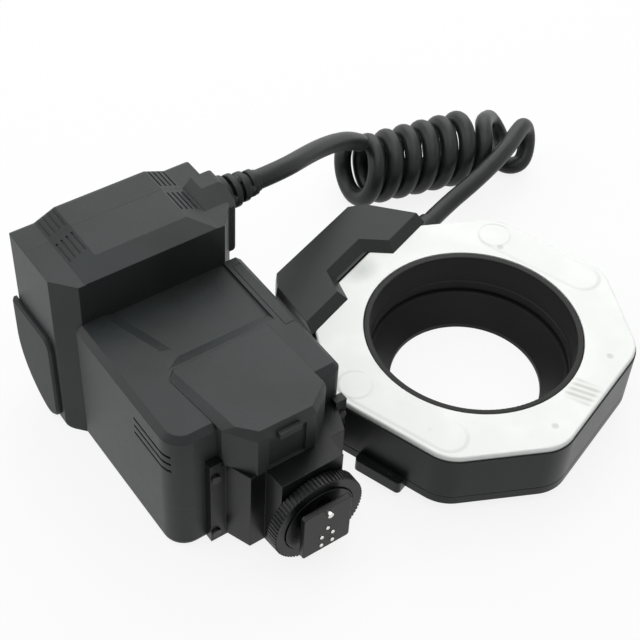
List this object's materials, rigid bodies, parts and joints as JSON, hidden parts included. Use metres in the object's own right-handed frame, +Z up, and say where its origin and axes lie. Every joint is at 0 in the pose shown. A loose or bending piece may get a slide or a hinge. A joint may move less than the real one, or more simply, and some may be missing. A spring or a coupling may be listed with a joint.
{
  "type": "macro ring flash",
  "caption": "Ring-shaped flash head for close-up photography, joined by a coiled cord to a shoe-mounted controller with batteries, display and keys.",
  "frame": {"origin": "centre of the ring's lens bore on the plane that the flash rests on, at the lens thread's end", "axes": "+Z up, along the lens axis from the thread to the front diffuser; +X along the controller's width, towards the ring; +Y from the controller's shoe foot towards its head"},
  "size_m": [0.246, 0.181, 0.077],
  "materials": {
    "black_plastic": "matt, finely textured",
    "diffuser": "translucent white, satin",
    "tube_glass": "clear",
    "reflector_metal": "bright",
    "circuit_board": "green solder mask",
    "steel": "satin",
    "pin_metal": "polished",
    "cord_rubber": "smooth, satin",
    "key_rubber": "matt",
    "cell_jacket": "printed sleeve, bare",
    "capacitor_jacket": "shrunk sleeve",
    "display_window": "clear grey, glossy",
    "display_panel": "liquid crystal grey"
  },
  "bodies": {
    "flash": {"ring_housing": "black_plastic", "ring_back_plate": "black_plastic", "bore_sleeve": "black_plastic", "arm_cover": "black_plastic", "arm_base": "black_plastic", "body_front_shell": "black_plastic", "body_back_shell": "black_plastic", "front_panel": "black_plastic", "battery_tray": "black_plastic", "head_near_shell": "black_plastic", "head_far_shell": "black_plastic", "head_cap_left": "black_plastic", "head_cap_right": "black_plastic", "foot_bracket": "black_plastic", "shoe_foot": "black_plastic", "front_diffuser": "diffuser", "flash_tube_a": "tube_glass", "flash_tube_b": "tube_glass", "modelling_lamp_a": "tube_glass", "modelling_lamp_b": "tube_glass", "reflector_a": "reflector_metal", "reflector_b": "reflector_metal", "ring_circuit_board": "circuit_board", "main_circuit_board": "circuit_board", "ring_screws": "steel", "bracket_screws": "steel", "battery_contacts": "steel", "cord_lead": "cord_rubber", "cord_coil": "cord_rubber", "cord_return": "cord_rubber", "head_cord_boot": "cord_rubber", "arm_cord_boot": "cord_rubber", "battery_cell_a": "cell_jacket", "battery_cell_b": "cell_jacket", "battery_cell_c": "cell_jacket", "battery_cell_d": "cell_jacket", "flash_capacitor": "capacitor_jacket", "display_window": "display_window", "display_panel": "display_panel"},
    "lens_adapter": {"lens_adapter_ring": "black_plastic"},
    "battery_door": {"battery_door": "black_plastic", "door_contact_plate": "steel"},
    "clamp_plate": {"clamp_plate": "black_plastic"},
    "lock_ring": {"lock_ring": "black_plastic"},
    "lock_pin": {"lock_pin": "pin_metal"},
    "release_button_left": {"release_button_left": "black_plastic"},
    "release_button_right": {"release_button_right": "black_plastic"},
    "power_switch": {"power_switch": "black_plastic"},
    "panel_latch": {"panel_latch": "black_plastic"},
    "contact_pin_centre": {"contact_pin_centre": "pin_metal"},
    "contact_pin_a": {"contact_pin_a": "pin_metal"},
    "contact_pin_b": {"contact_pin_b": "pin_metal"},
    "contact_pin_c": {"contact_pin_c": "pin_metal"},
    "contact_pin_d": {"contact_pin_d": "pin_metal"},
    "mode_button": {"mode_button": "key_rubber"},
    "select_button": {"select_button": "key_rubber"},
    "minus_button": {"minus_button": "key_rubber"},
    "plus_button": {"plus_button": "key_rubber"},
    "light_button": {"light_button": "key_rubber"},
    "test_button": {"test_button": "key_rubber"}
  },
  "joints": [
    {"name": "lens_adapter_turn", "type": "hinge", "parent": "flash", "child": "lens_adapter", "pos_m": [0, 0, 0.006], "axis": [0, 0, 1], "continuous": true},
    {"name": "battery_door_swing", "type": "hinge", "parent": "flash", "child": "battery_door", "pos_m": [-0.0717, 0.0342, 0.0564], "axis": [0, -1, 0], "range_deg": [0, 110]},
    {"name": "lock_ring_turn", "type": "hinge", "parent": "flash", "child": "lock_ring", "pos_m": [-0.0914, -0.0302, 0.0198], "axis": [0, 1, 0], "range_deg": [0, 480]},
    {"name": "clamp_plate_slide", "type": "slide", "parent": "flash", "child": "clamp_plate", "axis": [0, -1, 0], "range_m": [0, 0.0019]},
    {"name": "lock_pin_slide", "type": "slide", "parent": "flash", "child": "lock_pin", "axis": [0, 1, 0], "range_m": [0, 0.0014], "stiffness_N_per_m": 250},
    {"name": "contact_pin_centre_slide", "type": "slide", "parent": "flash", "child": "contact_pin_centre", "axis": [0, 1, 0], "range_m": [0, 0.0005], "stiffness_N_per_m": 250},
    {"name": "contact_pin_a_slide", "type": "slide", "parent": "flash", "child": "contact_pin_a", "axis": [0, 1, 0], "range_m": [0, 0.0005], "stiffness_N_per_m": 250},
    {"name": "contact_pin_b_slide", "type": "slide", "parent": "flash", "child": "contact_pin_b", "axis": [0, 1, 0], "range_m": [0, 0.0005], "stiffness_N_per_m": 250},
    {"name": "contact_pin_c_slide", "type": "slide", "parent": "flash", "child": "contact_pin_c", "axis": [0, 1, 0], "range_m": [0, 0.0005], "stiffness_N_per_m": 250},
    {"name": "contact_pin_d_slide", "type": "slide", "parent": "flash", "child": "contact_pin_d", "axis": [0, 1, 0], "range_m": [0, 0.0005], "stiffness_N_per_m": 250},
    {"name": "release_button_right_press", "type": "slide", "parent": "flash", "child": "release_button_right", "axis": [-0.9415, -0.3371, 0], "range_m": [0, 0.0015], "stiffness_N_per_m": 600},
    {"name": "release_button_left_press", "type": "slide", "parent": "flash", "child": "release_button_left", "axis": [0.9415, 0.3371, 0], "range_m": [0, 0.0015], "stiffness_N_per_m": 600},
    {"name": "mode_button_press", "type": "slide", "parent": "flash", "child": "mode_button", "axis": [0, 0, 1], "range_m": [0, 0.0007], "stiffness_N_per_m": 600},
    {"name": "select_button_press", "type": "slide", "parent": "flash", "child": "select_button", "axis": [0, 0, 1], "range_m": [0, 0.0007], "stiffness_N_per_m": 600},
    {"name": "minus_button_press", "type": "slide", "parent": "flash", "child": "minus_button", "axis": [0, 0, 1], "range_m": [0, 0.0007], "stiffness_N_per_m": 600},
    {"name": "plus_button_press", "type": "slide", "parent": "flash", "child": "plus_button", "axis": [0, 0, 1], "range_m": [0, 0.0007], "stiffness_N_per_m": 600},
    {"name": "light_button_press", "type": "slide", "parent": "flash", "child": "light_button", "axis": [0, 0, 1], "range_m": [0, 0.0007], "stiffness_N_per_m": 600},
    {"name": "test_button_press", "type": "slide", "parent": "flash", "child": "test_button", "axis": [0, 0, 1], "range_m": [0, 0.0007], "stiffness_N_per_m": 600},
    {"name": "power_switch_slide", "type": "slide", "parent": "flash", "child": "power_switch", "axis": [1, 0, 0], "range_m": [0, 0.005]},
    {"name": "panel_latch_press", "type": "slide", "parent": "flash", "child": "panel_latch", "axis": [0, 1, 0], "range_m": [0, 0.0012], "stiffness_N_per_m": 600}
  ],
  "couplings": [
    {"joint": "clamp_plate_slide", "follows": "lock_ring_turn", "m_per_rad": 0.0002267}
  ]
}
